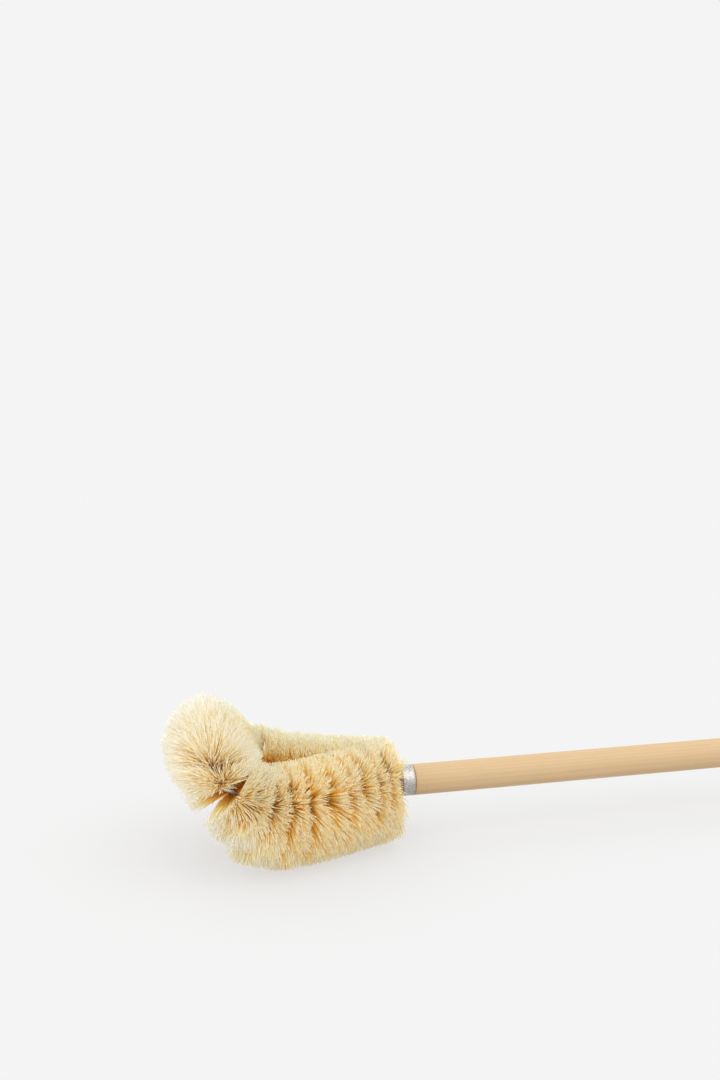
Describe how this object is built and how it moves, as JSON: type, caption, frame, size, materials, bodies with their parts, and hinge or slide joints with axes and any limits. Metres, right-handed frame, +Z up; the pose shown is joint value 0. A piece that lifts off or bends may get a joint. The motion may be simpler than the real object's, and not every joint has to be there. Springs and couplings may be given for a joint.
{
  "type": "toilet brush",
  "caption": "Toilet brush: a looped head of pale plant-fibre bristles held in twisted wire, its nose bent up, on a round wooden handle with a plain metal ferrule.",
  "frame": {"origin": "middle of the bounding box's footprint, on the surface that the brush lies on", "axes": "+X along the handle from the head to the butt, +Z up, -Y towards the near limb of the loop"},
  "size_m": [0.3876, 0.1112, 0.0905],
  "materials": {
    "handle_wood": "sanded, unvarnished",
    "ferrule_metal": "bright tinned sheet",
    "stem_wire": "galvanised wire",
    "bristle_fibre": "undyed plant fibre"
  },
  "bodies": {
    "root": {"handle": "handle_wood", "ferrule": "ferrule_metal", "wire_strand_a": "stem_wire", "wire_strand_b": "stem_wire", "bristles_near_limb": "bristle_fibre", "bristles_near_nose": "bristle_fibre", "bristles_far_nose": "bristle_fibre", "bristles_far_limb": "bristle_fibre"}
  },
  "joints": []
}
